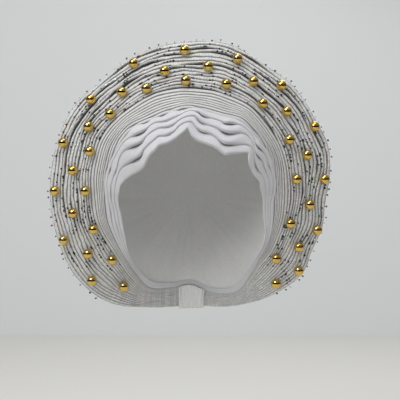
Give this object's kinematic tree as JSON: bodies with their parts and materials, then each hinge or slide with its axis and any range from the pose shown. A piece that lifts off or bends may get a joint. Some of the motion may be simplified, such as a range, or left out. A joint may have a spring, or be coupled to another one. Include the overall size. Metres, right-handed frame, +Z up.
{
  "type": "tied gele head tie",
  "caption": "Ready-tied head wrap that frames the face with soft brow folds and a wide fan of beaded knife pleats gathered behind the neck.",
  "frame": {"origin": "where the inside of the crown rests on the top of the head that it was tied for", "axes": "+Z up, -Y out of the face opening towards the front, +X towards the wearer's left, which is the right of the front view"},
  "size_m": [0.3019, 0.1667, 0.2947],
  "materials": {
    "fan_cloth": "off-white fan cloth with fine cross ribs and a slight sheen",
    "brow_cloth": "matte bluish white cloth with a fine diagonal weave",
    "gold": "polished gold coating"
  },
  "bodies": {
    "root": {"crown_wrap": "fan_cloth", "brow_fold_1": "brow_cloth", "brow_fold_2": "brow_cloth", "brow_fold_3": "brow_cloth", "brow_fold_4": "brow_cloth", "plain_pleats": "fan_cloth", "beaded_pleats": "fan_cloth", "nape_binding": "fan_cloth", "bead_01": "gold", "bead_02": "gold", "bead_03": "gold", "bead_04": "gold", "bead_05": "gold", "bead_06": "gold", "bead_07": "gold", "bead_08": "gold", "bead_09": "gold", "bead_10": "gold", "bead_11": "gold", "bead_12": "gold", "bead_13": "gold", "bead_14": "gold", "bead_15": "gold", "bead_16": "gold", "bead_17": "gold", "bead_18": "gold", "bead_19": "gold", "bead_20": "gold", "bead_21": "gold", "bead_22": "gold", "bead_23": "gold", "bead_24": "gold", "bead_25": "gold", "bead_26": "gold", "bead_27": "gold", "bead_28": "gold", "bead_29": "gold", "bead_30": "gold", "bead_31": "gold", "bead_32": "gold", "bead_33": "gold", "bead_34": "gold", "bead_35": "gold", "bead_36": "gold", "bead_37": "gold", "bead_38": "gold", "bead_39": "gold", "bead_40": "gold"}
  },
  "joints": []
}
